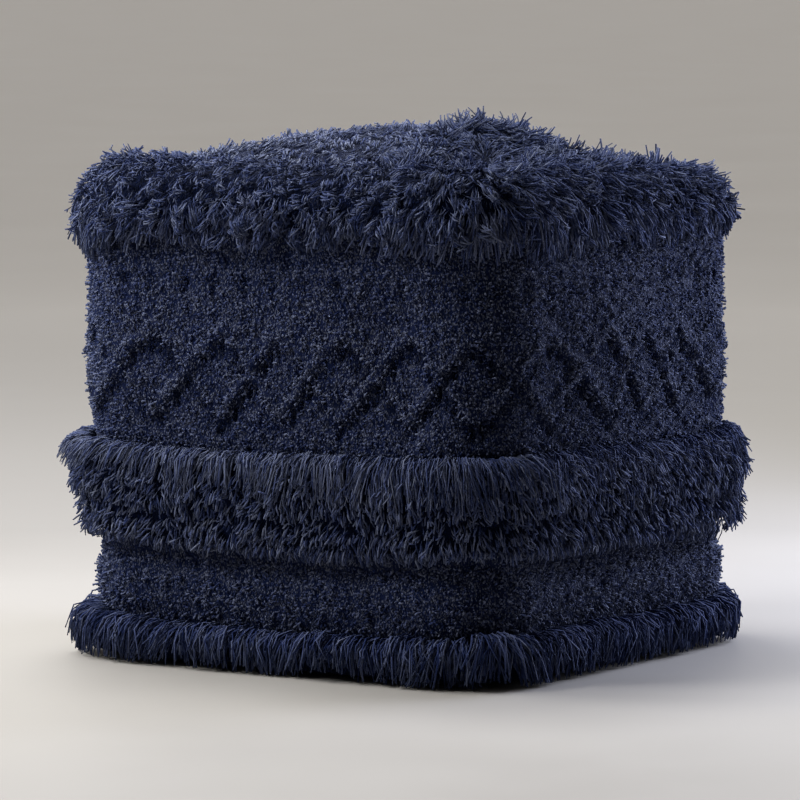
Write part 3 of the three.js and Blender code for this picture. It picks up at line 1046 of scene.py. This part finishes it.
# How the strands slant round the body, charted: share of a turn, and sideways for each length
TOP_SLANT = [
    (0.0, 0.35), (0.09, 0.45), (0.19, 0.25), (0.33, -0.2), (0.47, 0.3), (0.6, -0.3), (0.72, -0.5),
    (0.78, -0.25), (0.86, 0.0), (0.92, -0.1), (0.96, 0.15),
]
MID_SLANT = [
    (0.0, 0.35), (0.06, 0.5), (0.18, 0.25), (0.3, -0.3), (0.42, 0.25), (0.57, -0.35), (0.71, -0.6),
    (0.765, -0.7), (0.785, 0.15), (0.8, -0.3), (0.87, -0.4), (0.895, 0.35), (0.93, -0.25),
    (0.96, 0.2),
]
BASE_SLANT = [
    (0.0, 0.3), (0.1, 0.45), (0.2, 0.2), (0.4, -0.3), (0.6, 0.2), (0.71, -0.6), (0.78, -0.35),
    (0.84, 0.0), (0.95, -0.1),
]
SLANT_REACH = 0.022
LOOSE_SLANT = 0.4

# How far the long strands stray, against those of the left-hand face
ORDERLY = [(0.0, 1.0)]
UNRULY = [(0.0, 1.5), (0.2, 1.5), (0.28, 1.2), (0.62, 1.2), (0.7, 1.0), (0.9, 1.0), (0.95, 1.4)]

# Where the curly ends are combed long instead of curling short, and how much flatter and calmer they lie
TOP_COMBED = [(0.02, 1.0), (0.19, 1.0), (0.25, 0.3), (0.45, 0.7), (0.7, 0.1), (0.9, 0.1), (0.945, 0.9)]
MID_COMBED = [(0.0, 0.5)]
COMB_LAYS = 0.25
COMB_CALMS = 0.35

# How high the curly ends reach
TOP_UP_TO = [(0.0, 1.0)]
MID_UP_TO = [(0.02, 0.196), (0.19, 0.196), (0.24, 0.18), (0.93, 0.18), (0.97, 0.19)]

# How long the strands hang, against the line that they follow
TOP_LONGEST = [
    (0.04, 0.95), (0.2, 0.95), (0.7, 1.35), (0.74, 1.2), (0.785, 0.8), (0.792, 0.75), (0.8, 0.4),
    (0.808, 0.75), (0.845, 0.8), (0.855, 0.4), (0.865, 0.8), (0.884, 0.85), (0.893, 0.45),
    (0.902, 0.9), (0.955, 1.2),
]
MID_LONGEST = [
    (0.02, 0.85), (0.2, 0.85), (0.3, 1.0), (0.45, 1.05), (0.7, 0.82), (0.8, 0.84), (0.84, 0.95),
    (0.95, 1.1),
]
BASE_LONGEST = [
    (0.02, 1.05), (0.2, 1.12), (0.34, 1.0), (0.47, 1.12), (0.6, 1.0), (0.715, 1.22), (0.76, 1.05),
    (0.84, 1.0), (0.91, 1.05), (0.96, 1.2),
]

# Dark hollows between the curls of the top fringe: share of a turn, height and reach
TOP_HOLLOWS = [
    (0.8, 0.397, 0.008), (0.855, 0.4, 0.011), (0.893, 0.397, 0.009), (0.752, 0.412, 0.006),
    (0.94, 0.395, 0.007),
]
HOLLOW_DEPTH = 3.0

# Where the middle fringe stands off the wall, and its painted light and shade: paler on the left-hand face
# of the view, darker on the right-hand face and at the near corner. The others do neither.
MID_RAISED = [(0.66, 0.0), (0.71, 0.012), (0.75, 0.0)]
MID_PAINTED_LIGHT = [
    (0.0, -0.2), (0.2, -0.2), (0.3, 0.0), (0.68, 0.0), (0.73, 0.22), (0.88, 0.2), (0.94, -0.12),
]
EVEN = [(0.0, 0.0)]

# The step along a fringe's line over which its run is measured
LINE_STEP = 0.004

# Each fringe: its long strands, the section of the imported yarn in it, and the line and style of its curls.
# Lines and sections are distance outside half of BODY_WIDTH, and height. A lay hangs between its inner and
# outer line. drawn is how far it is drawn in at the left and at the right corner of the view.
BASE_LAY = {
    "strands": 4300, "radius": 0.00082, **ROUND_STEPS, "bias": 0.6, "shortest": 0.6,
    "clump": 0.02, "pull": 0.24, "waves": 22, "sway": 0.004, "lean": 0.005, "stray": 0.0074, "hook": 0.0065,
    "kink": 0.0013, "unruly": UNRULY, "lift": 0.0028, "raised": EVEN,
    "slant": BASE_SLANT, "reach": BASE_LONGEST, "drawn": (0.003, 0.007), "paler": EVEN,
    "inner": [(-0.01, 0.036), (0.004, 0.036), (0.01, 0.027), (0.01, 0.014), (0.006, 0.001)],
    "outer": [(-0.008, 0.047), (0.01, 0.047), (0.022, 0.038), (0.024, 0.02), (0.02, 0.001)],
}
BASE_CORE = [
    (-0.01, 0.042), (0.002, 0.04), (0.007, 0.03), (0.006, 0.017), (0.0, 0.007), (-0.016, 0.007),
]
MID_LAY = {
    "strands": 5400, "radius": 0.0007, **THREE_STEPS, "bias": 0.5, "shortest": 0.5,
    "clump": 0.02, "pull": 0.22, "waves": 14, "sway": 0.007, "lean": 0.006, "stray": 0.005, "hook": 0.006,
    "kink": 0.0012, "unruly": UNRULY, "lift": 0.0013, "raised": MID_RAISED,
    "slant": MID_SLANT, "reach": MID_LONGEST, "drawn": (0.0, 0.006), "paler": MID_PAINTED_LIGHT,
    "inner": [(-0.006, 0.193), (0.007, 0.194), (0.016, 0.185), (0.02, 0.17), (0.019, 0.15)],
    "outer": [(0.0, 0.1985), (0.013, 0.2), (0.024, 0.191), (0.028, 0.173), (0.026, 0.148)],
}
MID_CORE = [
    (-0.012, 0.194), (0.008, 0.192), (0.015, 0.18), (0.016, 0.162), (0.011, 0.146), (0.009, 0.132),
    (0.002, 0.12), (-0.012, 0.117),
]
MID_ROLL = [
    (0.016, 0.196), (0.022, 0.19), (0.024, 0.18), (0.025, 0.166), (0.022, 0.152), (0.018, 0.143),
    (0.021, 0.132), (0.021, 0.119), (0.016, 0.113),
]
MID_TIPS = {
    "length": 0.013, "longer": 0.3, "shortest": 0.6, "stand": 0.4, "lift": 0.1, "whim": 0.16,
    "own": 0.2, "curl": 1.5, "bunch": 7, "gather": 0.5, "shares": (0.0, 0.55, 1.0), "radius": 0.00088,
    "girth": (1.0, 0.8), "sink": 0.006, "lump": 0.0012, "lump_size": 0.02, "back": 0.004,
    "hollow": -1.8, "hollows": [], "slant": MID_SLANT, "combed": MID_COMBED, "laid": 0.0, "up_to": MID_UP_TO,
    "falls": 0.5, "falls_from": 0.13, "falls_over": 0.02,
    "drawn": (0.011, 0.004), "drawn_from": 0.158, "drawn_over": 0.045,
}
TOP_LAY = {
    "strands": 3400, "radius": 0.0009, **THREE_STEPS, "bias": 0.8, "shortest": 0.68,
    "clump": 0.022, "pull": 0.5, "waves": 14, "sway": 0.005, "lean": 0.006, "stray": 0.005, "hook": 0.006,
    "kink": 0.002, "unruly": ORDERLY, "lift": 0.0025, "raised": EVEN,
    "slant": TOP_SLANT, "reach": TOP_LONGEST, "drawn": (0.003, 0.01), "paler": EVEN,
    "inner": [(-0.004, 0.398), (0.004, 0.4), (0.009, 0.392), (0.01, 0.38), (0.007, 0.366)],
    "outer": [(-0.004, 0.416), (0.006, 0.417), (0.015, 0.408), (0.018, 0.392), (0.014, 0.371)],
}
TOP_CORE = [
    (-0.044, 0.43), (-0.03, 0.442), (-0.012, 0.44), (-0.002, 0.43), (0.004, 0.416), (0.005, 0.402),
    (-0.005, 0.392), (-0.014, 0.392),
]
TOP_ROLL = [
    (-0.044, 0.446), (-0.03, 0.455), (-0.012, 0.452), (0.004, 0.442), (0.016, 0.427), (0.021, 0.41),
    (0.02, 0.396), (0.014, 0.383),
]
TOP_TIPS = {
    "length": 0.0105, "longer": 0.6, "shortest": 0.66, "stand": 0.44, "lift": 0.1, "whim": 0.36,
    "own": 0.24, "curl": 1.9, "bunch": 14, "gather": 0.58, "shares": (0.0, 0.55, 1.0), "radius": 0.00078,
    "girth": (1.0, 0.85), "sink": 0.0055, "lump": 0.003, "lump_size": 0.024, "back": 0.003,
    "hollow": -1.35, "hollows": TOP_HOLLOWS, "slant": TOP_SLANT, "combed": TOP_COMBED, "laid": 0.55,
    "up_to": TOP_UP_TO, "falls": 0.85, "falls_from": 0.424, "falls_over": 0.02,
    "drawn": (0.0, 0.012), "drawn_from": 0.46, "drawn_over": 0.03,
}
TOP_SPACING = 0.003
MID_SPACING = 0.0032

# One paler lock hangs at the corner nearest to the view
PALE_LOCK = (0.213, -0.213, 0.408)
PALE_LOCK_REACH = 0.013
PALE_LOCK_TONE = 0.8


def fringe(name, node, lay, core, material, seed):
    """The long strands of one sewn fringe."""
    rng = np.random.default_rng(seed)
    paths = long_strands(lay, rng)
    # Painted light and shade round the middle fringe, none on the others
    tone = by_turn(np.arange(len(paths)) / len(paths), lay["paler"])
    yarn_piece(name, paths, lay, rng, material, node, ring_core(core), tone=tone)


def fringe_tips(name, node, line, spacing, style, material, seed):
    """The short curly ends that cover a fringe's roll."""
    rng = np.random.default_rng(seed)
    paths = roll_shag(line, spacing, style, rng)
    away = np.linalg.norm(paths[:, 0] - PALE_LOCK, axis=1)
    tone = PALE_LOCK_TONE * np.exp(-(away / PALE_LOCK_REACH) ** 2)
    yarn_piece(name, paths, style, rng, material, node, tone=tone)


def fringes():
    """The top and the middle fringe, each hanging strands and curly ends, and the fringe of the base."""
    lit = yarn_material("top_fringe_yarn", shaded=0.16, sheen=0.08, paler=0.01)
    fringe("strands_top_hanging", "top_edge_fringe", TOP_LAY, TOP_CORE, lit, seed=21)
    fringe_tips("strands_top_curls", "top_edge_fringe", TOP_ROLL, TOP_SPACING, TOP_TIPS, lit, seed=22)
    yarn = yarn_material("mid_fringe_yarn", shaded=0.16, sheen=0.08, paler=0.08)
    fringe("strands_mid_combed", "mid_fringe_upper", MID_LAY, MID_CORE, yarn, seed=23)
    fringe_tips("strands_mid_shaggy", "mid_fringe_lower", MID_ROLL, MID_SPACING, MID_TIPS, yarn, seed=24)
    # Darker than the other fringes' yarn: painted shade on the base, low under the middle fringe
    dark = yarn_material("base_yarn", shaded=0.16, sheen=0.08, paler=-0.11)
    fringe("strands_base", "base_fringe", BASE_LAY, BASE_CORE, dark, seed=25)


# The strands of the long-pile band

BAND_SPACING = 0.0026
BAND_LUMPS = 0.0027
# Painted shade in the hollows between the band's lumps and painted light on them
BAND_LUMP_PAINTED_SHADE = 0.2
BAND_LUMP_SIZE = 0.024
BAND = {
    "length": 0.021, "shortest": 0.5, "stand": 0.22, "lift": 0.05, "whim": 0.3, "own": 0.18, "curl": 2.0,
    "bunch": 17, "gather": 0.58, "shares": (0.0, 0.35, 0.7, 1.0), "radius": 0.0007, "girth": (1.0, 1.0, 0.85),
}

# The outline of the band near the rim, how deep it is rooted, and how its strands sway
BAND_REACH = 0.2
BAND_SINK = 0.001
BAND_SWAY = 0.45
BAND_SWAY_SIZE = 0.06

# Tufts that stand up from the band: x, y, length and number of strands
STANDING = [
    (0.115, -0.142, 0.014, 4), (0.19, 0.112, 0.028, 12), (0.186, 0.122, 0.026, 10), (0.193, 0.1, 0.024, 8),
    (0.188, 0.022, 0.017, 8), (0.182, 0.036, 0.019, 9), (0.15, 0.083, 0.017, 8), (0.106, -0.048, 0.009, 10),
    (0.108, 0.008, 0.009, 9),
]
STANDING_GIRTH = 1.5
STANDING_SPREAD = (0.002, 0.0035)
STANDING_SINK = 0.003
STANDING_WAY = (0.1, 0.0, 1.0)
STANDING_WHIM = 0.22
STANDING_BEND = 0.003
STANDING_SHORTEST = 0.7

# Where the strands part to both sides, and the whorl that they turn away from
PARTING_BESIDE = 0.004
PARTING_SPREAD = 0.01
WHORL = (0.15, -0.11)
WHORL_REACH = 0.028
WHORL_WEIGHT = 1.6


def standing_tufts(rng):
    """The few tufts that stand up, with as many points to a strand as the band's others."""
    shares = np.array(BAND["shares"])[:, None]
    tufts = []
    for x, y, length, number in STANDING:
        spots = [rng.normal(middle, spread, number) for middle, spread in zip((x, y), STANDING_SPREAD)]
        roots = np.column_stack([*spots, top_height(*spots) - STANDING_SINK])
        way = unit(rng.normal(size=(number, 3)) * STANDING_WHIM + STANDING_WAY)
        bend = rng.normal(size=(number, 3)) * STANDING_BEND
        reach = length * rng.uniform(STANDING_SHORTEST, 1.0, (number, 1, 1))
        tufts.append(roots[:, None] + way[:, None] * shares * reach + bend[:, None] * shares ** 2)
    return np.concatenate(tufts)


def cross_shag(seed):
    """Long strands combed to the left over the low pile from a parting, and to the right over the rim."""
    rng = np.random.default_rng(seed)
    u, v = scatter(BAND_RIGHT - BAND_LEFT, 2 * BAND_HALF_LENGTH, BAND_SPACING, rng)
    x = BAND_LEFT + u
    y = v - BAND_HALF_LENGTH
    inside = squared(x, y, BAND_REACH, 5) < 1
    x, y = x[inside], y[inside]
    left = x < RIDGE_X + PARTING_BESIDE + rng.normal(size=len(x)) * PARTING_SPREAD
    heading = np.where(left, math.pi, 0.0)
    heading = heading + BAND_SWAY * field(np.column_stack([x, y]), BAND_SWAY_SIZE, rng)
    rise_x, rise_y = top_slope(x, y)
    climb = np.cos(heading) * rise_x + np.sin(heading) * rise_y
    combs = unit(np.column_stack([np.cos(heading), np.sin(heading), climb]))
    from_whorl = np.column_stack([x - WHORL[0], y - WHORL[1], np.zeros_like(x)])
    near = np.exp(-(np.linalg.norm(from_whorl, axis=1) / WHORL_REACH) ** 2)[:, None]
    downs = unit(combs * (1 - near) + WHORL_WEIGHT * near * unit(from_whorl))
    outs = unit(np.column_stack([-rise_x, -rise_y, np.ones_like(x)]))
    roots = np.column_stack([x, y, top_height(x, y) - GROUND_DEPTH - BAND_SINK])
    lumps = field(roots[:, :2], BAND_LUMP_SIZE, rng)
    roots[:, 2] += BAND_LUMPS * lumps
    paths = shag(roots, outs, downs, BAND, rng)
    over = top_height(paths[..., 0], paths[..., 1])
    paths[:, 1:, 2] = np.maximum(paths[:, 1:, 2], over[:, 1:] - BAND_SINK)
    tufts = standing_tufts(rng)
    girth = np.repeat([1.0, STANDING_GIRTH], [len(paths), len(tufts)])
    # Painted light and shade by the band's lumps, none on the standing tufts
    tone = np.concatenate([BAND_LUMP_PAINTED_SHADE * lumps, np.zeros(len(tufts))])
    paths = np.concatenate([paths, tufts])
    material = yarn_material("band_yarn", shaded=0.3, sheen=0.12, paler=0.04)
    slot, node = "cotton_shag", "top_cross_shag"
    yarn_piece("strands_top_band", paths, BAND, rng, material, node, girth=girth, tone=tone)


# Camera, floor and lights

CAMERA_TURN = math.radians(32.94)
CAMERA_DISTANCE = 5.2
CAMERA_HEIGHT = 0.712
AIM_HEIGHT = 0.226
AIM_LEFT = 0.0109
SENSOR = 36.0
FOCAL_PIXELS = 5709
PHOTO_PIXELS = 800
CLIP_END = 100
FLOOR_REACH = 30

# Soft boxes: name, degrees to the right of the camera, distance, height, size, power and colour
WHITE = (1.0, 1.0, 1.0)
LIGHTS = [
    ("key_left", -65, 1.6, 1.4, 0.6, 30, WHITE),
    ("low_left", -95, 1.1, 1.05, 0.5, 19, WHITE),
    ("low_right", 118, 1.25, 0.62, 0.8, 28, (0.88, 0.95, 1.2)),
    ("top", -150, 0.6, 2.5, 1.0, 55, WHITE),
]
LIT_HEIGHT = 0.3

# The sky: how far up its palest place lies, its colour, and its strength from the near to the far side
SKY_TILT = 0.25
SKY_COLOR = (0.8, 0.77, 0.74, 1)
SKY_RANGE = (-0.5, 0.9)
SKY_GLOW = (0.05, 0.85)


def aimed(name, data, spot, aim):
    """A camera or a lamp at a spot, turned to what it is aimed at."""
    thing = bpy.data.objects.new(name, data)
    thing.location = spot
    thing.rotation_euler = (Vector(aim) - Vector(spot)).to_track_quat("-Z", "Y").to_euler()
    bpy.context.scene.collection.objects.link(thing)
    return thing


def camera():
    """The photograph's view: from a little above, onto the corner between the front and the right face."""
    right = Vector((math.cos(CAMERA_TURN), math.sin(CAMERA_TURN), 0))
    back = Vector((math.sin(CAMERA_TURN), -math.cos(CAMERA_TURN), 0))
    data = bpy.data.cameras.new("camera")
    data.sensor_width = SENSOR
    data.lens = SENSOR * FOCAL_PIXELS / PHOTO_PIXELS
    data.clip_end = CLIP_END
    spot = back * CAMERA_DISTANCE + Vector((0, 0, CAMERA_HEIGHT))
    aim = Vector((0, 0, AIM_HEIGHT)) - right * AIM_LEFT
    bpy.context.scene.camera = aimed("camera", data, spot, aim)


def soft_light(name, turn, distance, height, size, power, color):
    """A square soft box. Its turn is measured from the camera's, to the right."""
    data = bpy.data.lights.new(name, "AREA")
    data.size = size
    data.energy = power
    data.color = color
    angle = CAMERA_TURN + math.radians(turn)
    aimed(name, data, (math.sin(angle) * distance, -math.cos(angle) * distance, height), (0, 0, LIT_HEIGHT))


def studio_sky():
    """A pale sky behind the pouf that grows dim towards the camera's side."""
    n = Nodes(bpy.data.worlds.new("studio"))
    away = (-math.sin(CAMERA_TURN), math.cos(CAMERA_TURN), SKY_TILT)
    ahead = n.vector("DOT_PRODUCT", n.add("ShaderNodeTexCoord").outputs["Generated"], away)["Value"]
    strength = n.stretch(ahead, SKY_RANGE, SKY_GLOW)
    n.fill(n.tree.nodes["Background"], {"Color": SKY_COLOR, "Strength": strength})
    bpy.context.scene.world = n.owner


def studio():
    """The lights, the sky and the floor. None of them belongs to the part."""
    for light in LIGHTS:
        soft_light(*light)
    studio_sky()
    bpy.context.scene.view_settings.view_transform = "Standard"
    corners = np.array([(-1, -1, 0), (1, -1, 0), (1, 1, 0), (-1, 1, 0)]) * FLOOR_REACH
    floor = mesh_object("floor", corners, [[[0, 1, 2, 3]]], smooth=False)
    floor.data.materials.append(floor_material())


camera()
studio()
stuffed_body()
short_pile()
fringes()
cross_shag(seed=31)
